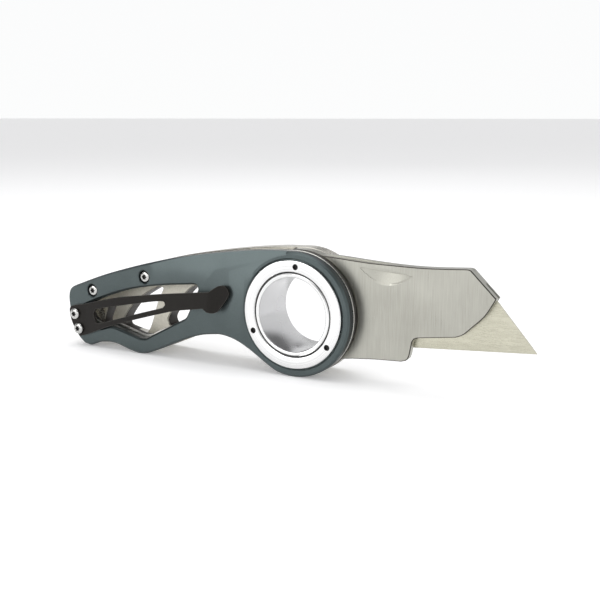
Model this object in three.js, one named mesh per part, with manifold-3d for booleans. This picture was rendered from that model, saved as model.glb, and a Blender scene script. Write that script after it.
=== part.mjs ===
// Folding utility knife with a finger ring at its pivot, open and standing on its edge.
// Millimetres, +Z up. The design frame has its origin on the ring's axis, in the ring's front face:
// +X runs towards the blade's tip, +Y into the knife, away from the pocket clip, and every layer is a
// plate between two y values. The last lines move the whole knife onto its base.
import * as THREE from "three";
import { mergeVertices } from "three/addons/utils/BufferGeometryUtils.js";
import Module from "manifold-3d";

const wasm = await Module();
wasm.setup();

// ---------------------------------------------------------------- driving dimensions
const gap = 0.3; // between pieces that are fixed to each other
const runningGap = 0.1; // between faces that turn on each other
const bladeClearance = 0.25; // round the blade in its pocket

const sleeveRadius = 13.0; // outside of the ring's tube
const sleeveWall = 1.56;
const sleeveHole = sleeveRadius + gap;
const fingerHoleRadius = sleeveRadius - sleeveWall;
const flangeWidth = 3.6;
const ringRadius = sleeveRadius + flangeWidth; // front flange
const flangeThickness = 1.2;
const flangeProud = 0.4; // flange above the front scale
const nutWidth = 3.0;
const nutRadius = sleeveRadius + nutWidth;
const nutThickness = 1.65;
const nutProud = 0.85; // nut above the rear frame

const scaleThickness = 3.0;
const scaleChamfer = 0.6;
const linerThickness = 1.6;
const washerThickness = 0.6;
const washerWidth = 2.2;
const washerRadius = sleeveHole + washerWidth;
const frontPlateThickness = 2.2;
const rearPlateThickness = 1.9;
const frameThickness = 5.5;

const headRim = 2.6;
const headRadius = ringRadius + headRim; // round end of the handle
const tailLength = 89.0; // ring axis to the butt
const handleFoot = -19.2; // lowest line, where the knife stands

const bladeLength = 60.9;
const bladeHeight = 19.0;
const bladeThickness = 0.6;
const bladeCornerAngle = 53.2; // degrees
const bladeTilt = 3.87; // degrees, the edge rises towards the tip
const bladeReach = 59.2; // the blade's tip ahead of the sleeve
const bladeTip = new THREE.Vector2(sleeveRadius + bladeReach, -5.0);
const bladeBevel = 2.2; // width of the ground edge
const notchWidth = 3.2;
const notchDepth = 2.2;
const notchSpacing = 14.0;

const openStopAngle = 98; // degrees, where the tang's full round ends at the top
const lockFaceAngle = -74.5; // degrees, where it ends at the bottom
const tangWidth = 2.5;
const tangRadius = sleeveHole + tangWidth; // tang where the stop pin and the lock pass it
const stopPinRadius = 1.5;
const stopPinCircle = tangRadius + stopPinRadius + gap;

const screwHeadRadius = 1.88;
const screwHeadHeight = 1.6;
const screwShankRadius = 1.0;
const screwFit = 0.2; // radial room round a screw or pin
const socketRadius = 0.95;
const socketDepth = 0.8;
const clipScrewHead = 0.8; // height of the heads over the clip

const clipThickness = 0.8;
const clipRise = 2.4; // highest point of the clip's arm above its root
const lockThickness = 1.6;
const lockSwing = 3.0; // degrees that the lock leaf springs in

// ---------------------------------------------------------------- layers, front to back
const scaleFront = flangeProud;
const scaleBack = scaleFront + scaleThickness;
const linerFront = scaleBack + gap;
const linerBack = linerFront + linerThickness;
const carrierFront = linerBack + washerThickness + runningGap;
const plateSeam = carrierFront + frontPlateThickness;
const carrierBack = plateSeam + rearPlateThickness;
const frameFront = carrierBack + runningGap + washerThickness;
const frameBack = frameFront + frameThickness;
const ringBack = frameBack + nutProud;
const nutFront = ringBack - nutThickness;
const pocketDepth = bladeThickness + 2 * runningGap;
const bladeMiddle = plateSeam + pocketDepth / 2;

// ---------------------------------------------------------------- materials
function finish(color, roughness, metalness) {
  return new THREE.MeshStandardMaterial({ color, roughness, metalness });
}
const slateAnodised = finish(0x566266, 0.45, 0.6);
const brushedSteel = finish(0xb2b0a5, 0.35, 0.9);
const polishedSteel = finish(0xe6e6e4, 0.15, 1.0);
const bladeSteel = finish(0xbab6a0, 0.3, 0.9);
const blackSteel = finish(0x232020, 0.5, 0.4);
const bronze = finish(0xa98a52, 0.4, 0.8);
const screwSteel = finish(0xc9cac6, 0.25, 1.0);

// ---------------------------------------------------------------- geometry helpers
const roundSides = 56; // facets of the ring's circles
const smallSides = 20; // facets of a screw head
const pinSides = 12; // facets of a pin or a shank
const at = (x, z) => new THREE.Vector2(x, z);
const fromButt = (x, z) => at(x - tailLength, z); // measured forwards from the butt
const ahead = (x, z) => at(x + sleeveRadius, z); // measured forwards from the sleeve
const radians = THREE.MathUtils.degToRad;

// Points on a circle about the ring's axis, from one angle to another in degrees.
function arc(radius, from, to, step = 6) {
  const count = Math.max(2, Math.ceil(Math.abs(to - from) / step));
  return Array.from({ length: count + 1 }, (_, i) => {
    const a = radians(from + ((to - from) * i) / count);
    return at(radius * Math.cos(a), radius * Math.sin(a));
  });
}

// A smooth line through a few points.
function smooth(points, count) {
  return new THREE.SplineCurve(points).getPoints(count);
}

// One outline from several runs, without the points that repeat where two runs meet.
function outline(...runs) {
  const points = runs.flat();
  return points.filter((p, i) => p.distanceTo(points[(i + 1) % points.length]) > 0.05);
}

// An outline moved inwards by a distance, for smooth outlines and small distances.
function inset(points, distance) {
  const turn = THREE.ShapeUtils.area(points) > 0 ? 1 : -1;
  return points.map((p, i) => {
    const before = points[(i + points.length - 1) % points.length];
    const after = points[(i + 1) % points.length];
    const a = p.clone().sub(before).normalize();
    const b = after.clone().sub(p).normalize();
    const along = a.add(b).normalize();
    return at(p.x - turn * along.y * distance, p.y + turn * along.x * distance);
  });
}

function solid(geometry) {
  const bare = geometry.clone();
  bare.deleteAttribute("normal");
  bare.deleteAttribute("uv");
  const merged = mergeVertices(bare, 1e-4);
  return new wasm.Manifold(
    new wasm.Mesh({
      numProp: 3,
      vertProperties: merged.attributes.position.array,
      triVerts: new Uint32Array(merged.index.array),
    }),
  );
}

function geometryOf(body) {
  const mesh = body.getMesh();
  const geometry = new THREE.BufferGeometry();
  geometry.setAttribute("position", new THREE.BufferAttribute(mesh.vertProperties, mesh.numProp));
  geometry.setIndex(new THREE.BufferAttribute(mesh.triVerts, 1));
  const faceted = geometry.toNonIndexed();
  faceted.computeVertexNormals();
  return faceted;
}

// A flat plate of an x, z outline between two y values.
function plate(points, front, back) {
  const geometry = new THREE.ExtrudeGeometry(new THREE.Shape(points), {
    depth: back - front,
    bevelEnabled: false,
  });
  geometry.rotateX(Math.PI / 2).translate(0, back, 0);
  return solid(geometry);
}

// A plate whose front rim is chamfered, and whose back rim can be.
function chamferedPlate(points, front, back, chamfer, bothSides = false) {
  const far = bothSides ? back : back + 2 * chamfer;
  const geometry = new THREE.ExtrudeGeometry(new THREE.Shape(points), {
    depth: far - front - 2 * chamfer,
    bevelThickness: chamfer,
    bevelSize: chamfer,
    bevelOffset: -chamfer,
    bevelSegments: 1,
  });
  geometry.rotateX(Math.PI / 2).translate(0, far - chamfer, 0);
  const body = solid(geometry);
  return bothSides ? body : body.subtract(block(-200, 200, back, far + 1, -200, 200));
}

function block(x0, x1, y0, y1, z0, z1) {
  const geometry = new THREE.BoxGeometry(x1 - x0, y1 - y0, z1 - z0);
  geometry.translate((x0 + x1) / 2, (y0 + y1) / 2, (z0 + z1) / 2);
  return solid(geometry);
}

// A round bar along Y.
function rod(radius, front, back, x = 0, z = 0, sides = roundSides, backRadius = radius) {
  const geometry = new THREE.CylinderGeometry(backRadius, radius, back - front, sides);
  geometry.translate(x, (front + back) / 2, z);
  return solid(geometry);
}

function ring(inner, outer, front, back) {
  return rod(outer, front, back).subtract(rod(inner, front - 1, back + 1));
}

// ---------------------------------------------------------------- the knife and its nodes
const knife = new THREE.Group();

function node(name, body, material, parent = knife) {
  const mesh = new THREE.Mesh(geometryOf(body), material);
  mesh.name = name;
  parent.add(mesh);
  return mesh;
}

// ---------------------------------------------------------------- handle outline
const backLine = smooth(
  [fromButt(4, 1.9), fromButt(19, 7.2), at(-49, 12.9), at(-29, 16.6), at(-12, 18.7), at(0, headRadius)],
  14,
);
const fingerNotch = new THREE.CubicBezierCurve(
  arc(headRadius, -107, -108)[0],
  at(-11, -16.4), at(-18, -9.0), at(-27, -9.1),
).getPoints(9);
const belly = smooth(
  [
    at(-27, -9.1), at(-34, -10.2), at(-42, -13.1), fromButt(36, -17.9), fromButt(30.8, handleFoot),
    fromButt(26, -18.5), fromButt(19.5, -16.9), fromButt(13.5, -17.3), fromButt(9.2, -18.8),
    fromButt(6.2, -18.4),
  ],
  22,
);
const butt = smooth(
  [
    fromButt(6.2, -18.4), fromButt(3.3, -15.8), fromButt(1, -10.6), fromButt(0, -4.5),
    fromButt(0.2, -1.2), fromButt(1.5, 0.7), fromButt(4, 1.9),
  ],
  12,
);
const handleOutline = outline(backLine, arc(headRadius, 90, -107), fingerNotch, belly, butt);

// The rear frame's head stands a little further back than the scale's.
const frameHead = arc(headRadius, 90, -90).map((p) => at(p.x - 1.2, p.y));
const frameOutline = outline(
  backLine.filter((p) => p.x < -3),
  frameHead,
  arc(headRadius, -96, -107),
  fingerNotch,
  belly,
  butt,
);

// ---------------------------------------------------------------- screws and pins
const topScrews = { tail: fromButt(10.8, 0.4), middle: fromButt(33.2, 6.9) };
const clipScrews = { upper: fromButt(4.1, -8.0), lower: fromButt(5.5, -13.0) };
const buttScrew = fromButt(4.5, -11.0); // from behind, between the two clip screws
const shankMiddle = (linerBack + frameFront) / 2; // front and rear screws share the spacer
const stopPinAngle =
  openStopAngle + THREE.MathUtils.radToDeg(Math.asin((stopPinRadius + 0.2) / stopPinCircle));
const stopPin = arc(stopPinCircle, stopPinAngle, stopPinAngle + 1)[0];
const pinDepth = 1.5; // how far the stop pin enters the liner and the frame

// A round-headed screw that points to +Y, with its head's seat at y = 0.
function screwBody(shankLength, headHeight = screwHeadHeight) {
  const socket = rod(socketRadius, -headHeight - 1, -headHeight + socketDepth, 0, 0, 6);
  const crownRadius = screwHeadRadius - 0.35;
  const crownBack = -headHeight + 0.35;
  return rod(crownRadius, -headHeight, crownBack, 0, 0, smallSides, screwHeadRadius)
    .add(rod(screwHeadRadius, crownBack, 0, 0, 0, smallSides))
    .add(rod(screwShankRadius, -0.5, shankLength, 0, 0, pinSides))
    .subtract(socket);
}

function screw(name, place, seat, tip, headHeight, fromBehind = false) {
  const mesh = node(name, screwBody(Math.abs(tip - seat), headHeight), screwSteel);
  mesh.position.set(place.x, seat, place.y);
  if (fromBehind) mesh.rotation.x = Math.PI;
  return mesh;
}

const shankHole = (place, front, back) =>
  rod(screwShankRadius + screwFit, front, back, place.x, place.y, pinSides);
const headHole = (place, front, back) =>
  rod(screwHeadRadius + gap, front, back, place.x, place.y, smallSides);

// ---------------------------------------------------------------- front scale
// Anodised aluminium cover with a long window, a broad bevel along its back and a seat for the ring.
const windowTop = [
  fromButt(7.4, -4.8), fromButt(13.5, -2.2), fromButt(22, 0.8), fromButt(30.2, 3.0), at(-48.3, 4.8),
  at(-36.6, 6.1),
];
const windowFoot = [
  fromButt(24.1, -12.3), fromButt(18.6, -11.3), fromButt(13.5, -12.4), fromButt(8.8, -10.4),
  fromButt(7.4, -4.8),
];
const windowOutline = outline(
  smooth(windowTop, 9),
  smooth([at(-36.6, 6.1), at(-34.9, 5.9), at(-34.4, 4.6)], 4),
  smooth([at(-38.8, -4.2), at(-39.6, -5.3), at(-40.9, -6.0)], 4),
  smooth([fromButt(35.4, -12.6), fromButt(33.4, -13.7), fromButt(30.6, -14.0)], 4),
  smooth(windowFoot, 10),
);
const scaleHead = headRadius - 1.2; // flat land round the ring, which the bevel stops at
const bevelLine = 11.6; // height where the back bevel leaves the face
const bevelSlope = 0.16;
const bevelEnd = -2; // where it stops on the head
const bevelSection = [at(1, 0), at(1, 12), at(-12 * bevelSlope, 12), at(0, 0)];
const backBevel = plate(bevelSection, -100, bevelEnd).rotate([0, 0, -90]); // swept along X
const seatDepth = scaleFront - flangeProud + flangeThickness;
const frontScale = chamferedPlate(handleOutline, scaleFront, scaleBack, scaleChamfer, true)
  .subtract(plate(windowOutline, scaleFront - 1, scaleBack + 1))
  .subtract(backBevel.translate([0, scaleFront, bevelLine]).subtract(rod(scaleHead, -5, 10)))
  .subtract(rod(ringRadius + gap, -5, seatDepth))
  .subtract(rod(sleeveHole, -5, 10))
  .subtract(headHole(topScrews.tail, -5, scaleFront + 2))
  .subtract(headHole(topScrews.middle, -5, scaleFront + 2))
  .subtract(shankHole(topScrews.tail, 0, 10))
  .subtract(shankHole(topScrews.middle, 0, 10))
  .subtract(shankHole(clipScrews.upper, 0, 10))
  .subtract(shankHole(clipScrews.lower, 0, 10));
node("front_scale", frontScale, slateAnodised);

// ---------------------------------------------------------------- front liner
// Steel sheet behind the scale. Its window is a little shallower, so a ledge shows below.
const linerWindow = windowOutline.map((p) => (p.y < -9 ? at(p.x, p.y + 0.9) : p));
const frontLiner = plate(inset(handleOutline, 0.05), linerFront, linerBack)
  .subtract(plate(linerWindow, linerFront - 1, linerBack + 1))
  .subtract(rod(sleeveHole, 0, 10))
  .subtract(shankHole(topScrews.tail, 0, 10))
  .subtract(shankHole(topScrews.middle, 0, 10))
  .subtract(shankHole(clipScrews.upper, 0, 10))
  .subtract(shankHole(clipScrews.lower, 0, 10))
  .subtract(
    rod(stopPinRadius + screwFit, linerBack - pinDepth + 0.4, 10, stopPin.x, stopPin.y, pinSides),
  );
node("front_liner", frontLiner, brushedSteel);

// ---------------------------------------------------------------- rear frame
// Thick steel side that carries the load, cut through with slanted windows.
const frameWindows = [
  [
    fromButt(7.6, -14.0), fromButt(6.7, -12.6), fromButt(8.8, -6.6), fromButt(9.8, -5.6),
    fromButt(12.4, -5.9), fromButt(10.6, -10.0), fromButt(9.8, -13.4),
  ],
  [
    fromButt(16.4, -13.9), fromButt(15, -12.4), fromButt(16.6, -9.2), fromButt(19.9, -5.2),
    fromButt(23.6, -2.2), fromButt(30.4, 1.6), fromButt(33, 1.4), fromButt(30.5, -3.3),
    fromButt(25.8, -14.6),
  ],
  [
    fromButt(36.4, -11.0), fromButt(34.9, -8.9), fromButt(36.4, -6.2), at(-48.6, -1.4), at(-44.0, 2.9),
    at(-37.8, 4.2), at(-39.6, -1.2), at(-44.6, -8.2),
  ],
  [
    at(-34.2, -4.0), at(-35.0, -2.0), at(-31.6, 6.2), at(-26.4, 8.4), at(-20.6, 9.0), at(-23.6, 3.0),
    at(-27.6, -1.6),
  ],
];
const roundedWindow = (corners) => {
  const closed = corners.map((p) => new THREE.Vector3(p.x, p.y, 0));
  const curve = new THREE.CatmullRomCurve3(closed, true, "catmullrom", 0.25);
  return curve.getPoints(corners.length * 3).slice(0, -1).map((p) => at(p.x, p.y));
};

// Lock leaf outline: a band along the foot of the handle that ends at the tang's lock face.
const lockHinge = -46.5;
const lockEndAngle = lockFaceAngle - 1.2;
const lockEnd = (radius) => arc(radius, lockEndAngle, lockEndAngle + 1)[0];
const lockBand = [
  at(-47.5, -20), at(-47.5, -9.6), at(-44, -8.6), at(-36, -6.6), at(-27, -3.9), at(-18, -4.6),
  at(-11, -8.6), lockEnd(12), lockEnd(23),
];
const lockInside = 0.6; // the leaf and its bed stay inside the handle's outline

const lockScrews = [at(-44.2, -11.4), at(-39.4, -9.6)];
const topCornerScrews = Object.values(topScrews);
let rearFrame = chamferedPlate(frameOutline, frameFront, frameBack, 0.4, true)
  .subtract(rod(sleeveHole, 0, 30))
  .subtract(rod(nutRadius + gap, nutFront, 30))
  .subtract(
    rod(stopPinRadius + screwFit, 0, frameFront + pinDepth + 0.2, stopPin.x, stopPin.y, pinSides),
  );
const lockBed = plate(inset(lockBand, -0.6), frameFront - 1, frameFront + lockThickness + gap).subtract(
  rod(tangRadius - gap, 0, 30),
);
rearFrame = rearFrame.subtract(lockBed);
for (const corners of frameWindows)
  rearFrame = rearFrame.subtract(plate(roundedWindow(corners), frameFront - 1, frameBack + 1));
for (const place of [...topCornerScrews, buttScrew, ...lockScrews])
  rearFrame = rearFrame
    .subtract(shankHole(place, 0, 30))
    .subtract(headHole(place, frameBack - screwHeadHeight, 30));
node("rear_frame", rearFrame, brushedSteel);

// ---------------------------------------------------------------- back spacer
// Bar between liner and frame, along the back and round the butt. Every case screw ends in it.
const spacerInside = [
  at(-21, 13.4), at(-44, 9.2), fromButt(36, 4.9), fromButt(30, 3.9), fromButt(19, 2.6),
  fromButt(14.5, 1.5), fromButt(13, -1.6), fromButt(7.2, -4.0), fromButt(7.2, -17.0),
];
const spacerRegion = [at(-21, 30), ...spacerInside, at(-95, -17.0), at(-95, 30)];
let backSpacer = plate(spacerRegion, linerBack, frameFront).intersect(
  plate(inset(handleOutline, 0.4), linerBack, frameFront),
);
for (const place of [...topCornerScrews, ...Object.values(clipScrews)])
  backSpacer = backSpacer.subtract(shankHole(place, 0, shankMiddle + 0.2));
for (const place of [...topCornerScrews, buttScrew])
  backSpacer = backSpacer.subtract(shankHole(place, shankMiddle + 0.2, 30));
node("back_spacer", backSpacer, brushedSteel);

// ---------------------------------------------------------------- pivot
// Flanged sleeve that the finger goes through, its nut, two washers and the stop pin.
const grooveRadius = sleeveRadius - 0.15;
const ringProfile = [
  at(fingerHoleRadius, 0.5), at(fingerHoleRadius + 0.4, 0.1), at(grooveRadius - 0.5, 0.1),
  at(grooveRadius - 0.2, 0.4), at(grooveRadius + 0.2, 0.4), at(grooveRadius + 0.4, 0),
  at(ringRadius - 0.4, 0), at(ringRadius, 0.4), at(ringRadius, flangeThickness),
  at(sleeveRadius, flangeThickness), at(sleeveRadius, ringBack - 0.3), at(sleeveRadius - 0.3, ringBack),
  at(fingerHoleRadius + 0.4, ringBack), at(fingerHoleRadius, ringBack - 0.4), at(fingerHoleRadius, 0.5),
];
const spannerHoles = [84.5, 204.5, 324.5]; // degrees
const spannerCircle = (sleeveRadius + ringRadius) / 2;
const spannerRadius = 0.92;
const spannerHole = (angle, front, back) => {
  const place = arc(spannerCircle, angle, angle + 1)[0];
  return rod(spannerRadius, front, back, place.x, place.y, 12);
};
let pivotRing = solid(new THREE.LatheGeometry(ringProfile, roundSides));
let ringNut = rod(nutRadius, nutFront, ringBack - 0.4)
  .add(rod(nutRadius, ringBack - 0.4, ringBack, 0, 0, roundSides, nutRadius - 0.4))
  .subtract(rod(sleeveHole, 0, 30));
for (const angle of spannerHoles) {
  pivotRing = pivotRing.subtract(spannerHole(angle, -1, flangeThickness - 0.3));
  ringNut = ringNut.subtract(spannerHole(angle, nutFront + 0.4, 30));
}
node("pivot_ring", pivotRing, polishedSteel);
node("ring_nut", ringNut, polishedSteel);
node("washer_front", ring(sleeveHole, washerRadius, linerBack, linerBack + washerThickness), bronze);
node("washer_rear", ring(sleeveHole, washerRadius, frameFront - washerThickness, frameFront), bronze);
node(
  "stop_pin",
  rod(stopPinRadius, linerBack - pinDepth + 0.6, frameFront + pinDepth, stopPin.x, stopPin.y, pinSides),
  screwSteel,
);

// ---------------------------------------------------------------- blade carrier
// Two steel plates that turn on the sleeve and hold the blade between them.
const spineStart = arc(headRadius, 68.6, 68)[0];
const spineEnd = [ahead(19.5, 16.6), ahead(28, 16.6), ahead(39, 17.2)];
const frontSpine = smooth([spineStart, ahead(-0.5, 17.5), ahead(9.5, 16.8), ...spineEnd], 9);
const rearSpine = smooth([spineStart, ahead(-0.5, 17.8), ahead(9.5, 17.1), ...spineEnd], 9);
const nose = [ahead(39.6, 17.2), ahead(40.3, 17.0), ahead(41, 16.4), ahead(47.9, 9.6)];
const cheek = smooth(
  [ahead(47.9, 9.6), ahead(45, 4.7), ahead(41.3, 0.9), ahead(38.8, -1.4), ahead(36.6, -2.4)],
  8,
);
const frontTab = [
  ahead(25.2, -3.9), ahead(24.2, -4.3), ahead(23.6, -5.2), ahead(22.8, -9.4), ahead(22.4, -10.4),
  ahead(21.6, -11.1), ahead(20.2, -11.5),
];
const rearHeel = [
  ahead(25.2, -4.4), ahead(22.2, -5.6), ahead(20.8, -7.2), ahead(20.2, -9.6), ahead(19, -10.9),
  ahead(17.2, -11.4),
];
const bellyEdge = [ahead(12, -11.9), ahead(4.4, -12.6)];
const tangRound = [
  ...arc(headRadius, -43, lockFaceAngle),
  ...arc(tangRadius, lockFaceAngle, openStopAngle - 360),
  ...arc(headRadius, openStopAngle, 68.6), // up to the start of the spine
];
const carrierOutline = (spine, heel) => outline(spine, nose, cheek, heel, bellyEdge, tangRound);

// The blade's own frame: x along the edge back from the tip, z from the edge to the back.
const slope = bladeHeight / Math.tan(radians(bladeCornerAngle));
const bladeOutline = [
  at(0, 0), at(-slope, bladeHeight), at(slope - bladeLength, bladeHeight), at(-bladeLength, 0),
];
const notchMiddles = [-1, 1].map((side) => (-bladeLength + side * notchSpacing) / 2);
const toKnife = new THREE.Matrix4()
  .makeTranslation(bladeTip.x, bladeMiddle, bladeTip.y)
  .multiply(new THREE.Matrix4().makeRotationY(-radians(bladeTilt)));
const inKnife = (x, z) => {
  const place = new THREE.Vector3(x, 0, z).applyMatrix4(toKnife);
  return at(place.x, place.z);
};
const pocketRoom = 20; // the pocket runs on through the nose, so that the blade slides out
const pocketOutline = [
  at(pocketRoom, -bladeClearance),
  at(pocketRoom, bladeHeight + bladeClearance),
  at(slope - bladeLength - bladeClearance, bladeHeight + bladeClearance),
  at(-bladeLength - 2 * bladeClearance, -bladeClearance),
];
const bladePocket = plate(
  pocketOutline.map((p) => inKnife(p.x, p.y)),
  plateSeam - 1,
  plateSeam + pocketDepth,
);

// Crescent nail nick, cut by a wide cone that is deepest at its top edge.
const nickWidth = 17.0;
const nickHeight = 4.0;
const nickDepth = 1.2;
const nickPlace = ahead(15.0, 14.6);
const nickTurn = 4.5; // degrees
const nickRadius = (nickWidth ** 2 / 4 + nickDepth ** 2) / (2 * nickDepth);
const nickCone = new THREE.CylinderGeometry(nickRadius, nickRadius - nickDepth, nickHeight, 160);
nickCone
  .rotateX(Math.PI / 2)
  .translate(0, nickDepth - nickRadius, -nickHeight / 2)
  .rotateY(radians(nickTurn))
  .translate(nickPlace.x, carrierFront, nickPlace.y);
const nickStep = 0.15; // sharp step along the nick's lower rim
const nickRim = smooth(
  [ahead(6.8, 15.1), ahead(10.4, 12.4), ahead(15.2, 11.3), ahead(19.8, 11.7), ahead(23.3, 13.8)],
  12,
);

const rivets = [ahead(6.6, 12.2), ahead(10.6, -10.1), ahead(33.0, 14.7)];
const rivetRadius = 1.0;
const rivetHeadRadius = 1.5;
const rivetHead = 0.5;
const rivetTip = plateSeam - 1.0;
const rivetHole = (place) =>
  rod(rivetRadius + screwFit, rivetTip - gap, 30, place.x, place.y, pinSides).add(
    rod(rivetHeadRadius + gap, carrierBack - rivetHead - gap, 30, place.x, place.y, pinSides),
  );

let frontPlate = chamferedPlate(carrierOutline(frontSpine, frontTab), carrierFront, plateSeam, 0.25)
  .subtract(rod(sleeveHole, 0, 30))
  .subtract(solid(nickCone))
  .subtract(plate(nickRim, 0, carrierFront + nickStep));
let rearPlate = plate(carrierOutline(rearSpine, rearHeel), plateSeam, carrierBack)
  .subtract(rod(sleeveHole, 0, 30))
  .subtract(bladePocket);

// ---------------------------------------------------------------- blade catch
// Spring leaf in the back of the carrier. Its tooth drops into a notch of the blade.
const catchThickness = 0.5;
const catchHinge = sleeveRadius + 34.6;
const toothPlace = inKnife(notchMiddles[0], bladeHeight - 1.1);
const catchPad = at(toothPlace.x, 6.4);
const catchWidth = 4.0;
const catchOutline = [
  at(catchHinge, 13.5), at(catchHinge, 15.9), at(toothPlace.x - catchWidth / 2, 15.4),
  at(catchPad.x - catchWidth / 2, catchPad.y - 3), at(catchPad.x + catchWidth / 2, catchPad.y - 3),
  at(toothPlace.x + catchWidth / 2, 13.1),
];
const toothSize = at(2.2, 1.4);
const catchBack = carrierBack - 0.05;
const toothBlock = (room, front, back) =>
  block(
    toothPlace.x - toothSize.x / 2 - room, toothPlace.x + toothSize.x / 2 + room, front, back,
    toothPlace.y - toothSize.y / 2 - room, toothPlace.y + toothSize.y / 2 + room,
  );
const bladeCatch = plate(catchOutline, catchBack - catchThickness, catchBack)
  .add(toothBlock(0, bladeMiddle - 0.2, catchBack))
  .subtract(rod(rivetRadius + screwFit, 0, 30, rivets[2].x, rivets[2].y, pinSides));
rearPlate = rearPlate
  .subtract(plate(inset(catchOutline, -gap), catchBack - catchThickness - 0.15, 30))
  .subtract(toothBlock(gap, plateSeam - 1, 30));
for (const place of rivets) {
  frontPlate = frontPlate.subtract(rivetHole(place));
  rearPlate = rearPlate.subtract(rivetHole(place));
}
node("carrier_front_plate", frontPlate, brushedSteel);
node("carrier_rear_plate", rearPlate, brushedSteel);
rivets.forEach((place, i) => {
  const overCatch = i === 2;
  const shankBack = overCatch ? catchBack + gap : carrierBack - rivetHead;
  const rivet = rod(rivetRadius, rivetTip, shankBack + 0.01, place.x, place.y, pinSides).add(
    rod(rivetHeadRadius, shankBack, shankBack + (overCatch ? 0.3 : rivetHead), place.x, place.y, pinSides),
  );
  node(`carrier_rivet_${i + 1}`, rivet, screwSteel);
});
node("blade_catch", bladeCatch, blackSteel);

// ---------------------------------------------------------------- utility blade
// Trapezoid blade, ground on both sides of its long edge, with two notches in its back.
const bladeSection = [
  at(0, 0), at(bladeBevel, bladeThickness / 2), at(bladeHeight, bladeThickness / 2),
  at(bladeHeight, -bladeThickness / 2), at(bladeBevel, -bladeThickness / 2),
];
const bladeBar = new THREE.ExtrudeGeometry(new THREE.Shape(bladeSection), {
  depth: bladeLength,
  bevelEnabled: false,
});
bladeBar.applyMatrix4(
  new THREE.Matrix4().makeBasis(
    new THREE.Vector3(0, 0, 1),
    new THREE.Vector3(0, 1, 0),
    new THREE.Vector3(-1, 0, 0),
  ),
);
let bladeBody = solid(bladeBar).intersect(plate(bladeOutline, -1, 1));
for (const middle of notchMiddles)
  bladeBody = bladeBody.subtract(
    block(middle - notchWidth / 2, middle + notchWidth / 2, -1, 1, bladeHeight - notchDepth, bladeHeight + 1),
  );
const blade = node("utility_blade", bladeBody, bladeSteel);
blade.position.set(bladeTip.x, bladeMiddle, bladeTip.y);
blade.rotation.y = -radians(bladeTilt);

// ---------------------------------------------------------------- lock leaf and its detent ball
const ballRadius = 0.75;
const ballPlace = arc(tangRadius + 1.6, -98, -97)[0];
const lockGroup = new THREE.Group();
lockGroup.position.set(lockHinge, frameFront, 0);
lockGroup.rotation.z = -radians(lockSwing);
knife.add(lockGroup);
let lockLeaf = plate(lockBand, 0, lockThickness)
  .intersect(plate(inset(handleOutline, lockInside), 0, lockThickness))
  .subtract(rod(tangRadius + gap, -1, lockThickness + 1))
  .subtract(rod(ballRadius + 0.15, -1, lockThickness + 1, ballPlace.x, ballPlace.y, pinSides));
for (const place of lockScrews)
  lockLeaf = lockLeaf.subtract(shankHole(place, -1, 10));
node("lock_leaf", lockLeaf.translate([-lockHinge, 0, 0]), brushedSteel, lockGroup);
const ballBody = solid(new THREE.SphereGeometry(ballRadius, pinSides, 8));
const ball = node("detent_ball", ballBody, screwSteel, lockGroup);
ball.position.set(ballPlace.x - lockHinge, ballRadius - 0.2, ballPlace.y);

// ---------------------------------------------------------------- pocket clip
// Black sprung strip, slotted along its middle, that ends in a paddle bent back to the scale.
const clipBack = scaleFront - gap; // back of the clip's root
const clipSide = [
  fromButt(-1, 0), fromButt(9, 0), fromButt(19, 0.7), at(-33.5, clipRise - 0.1), at(-28.6, clipRise),
  at(-27.2, clipRise - 0.3), at(-21.5, 0.2),
];
const clipProfile = [
  ...clipSide.map((p) => at(p.x, clipBack - p.y)),
  ...clipSide.map((p) => at(p.x, clipBack - p.y - clipThickness)).reverse(),
];
const clipStrip = new THREE.ExtrudeGeometry(new THREE.Shape(clipProfile), {
  depth: 60,
  bevelEnabled: false,
});
clipStrip.translate(0, 0, -35);
const clipUpperEdge = [
  fromButt(1.4, -8.4), fromButt(2.2, -5.6), fromButt(9.2, -4.0), fromButt(22.2, -0.7),
  fromButt(34.3, 1.3), at(-45.5, 2.7), at(-27.8, 5.0),
];
const clipPaddle = [
  at(-27.0, 5.6), at(-24.9, 7.0), at(-22.9, 7.0), at(-21.8, 5.4), at(-22.0, 3.6), at(-24.8, -0.6),
  at(-26.6, -1.7), at(-28.8, -1.5),
];
const clipLowerEdge = [
  at(-30.2, -0.5), at(-35.6, -1.4), at(-43.7, -3.0), fromButt(28.4, -7.9), fromButt(18.5, -11.0),
  fromButt(10, -14.4), fromButt(5.8, -15.8),
];
const clipRoot = [fromButt(5.8, -15.8), fromButt(4.3, -14.6), fromButt(2.3, -11.2), fromButt(1.4, -8.4)];
const clipOutline = outline(
  smooth(clipUpperEdge, 10),
  smooth(clipPaddle, 13),
  smooth(clipLowerEdge, 10),
  smooth(clipRoot, 6),
);
const slotUpperEdge = [
  fromButt(12.2, -7.4), fromButt(13, -5.9), fromButt(15.4, -5.0), fromButt(30.4, -1.9), at(-47.2, 0.2),
  at(-45.2, -0.6), at(-46.2, -1.9),
];
const slotLowerEdge = [
  fromButt(32.8, -4.8), fromButt(15.2, -10.1), fromButt(12.9, -9.3), fromButt(12.2, -7.4),
];
const clipSlot = outline(smooth(slotUpperEdge, 14), smooth(slotLowerEdge, 8));
let clipBody = solid(clipStrip)
  .intersect(plate(clipOutline, -20, 20))
  .subtract(plate(clipSlot, -20, 20));
for (const place of Object.values(clipScrews)) clipBody = clipBody.subtract(shankHole(place, -20, 20));
node("pocket_clip", clipBody, blackSteel);

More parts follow.
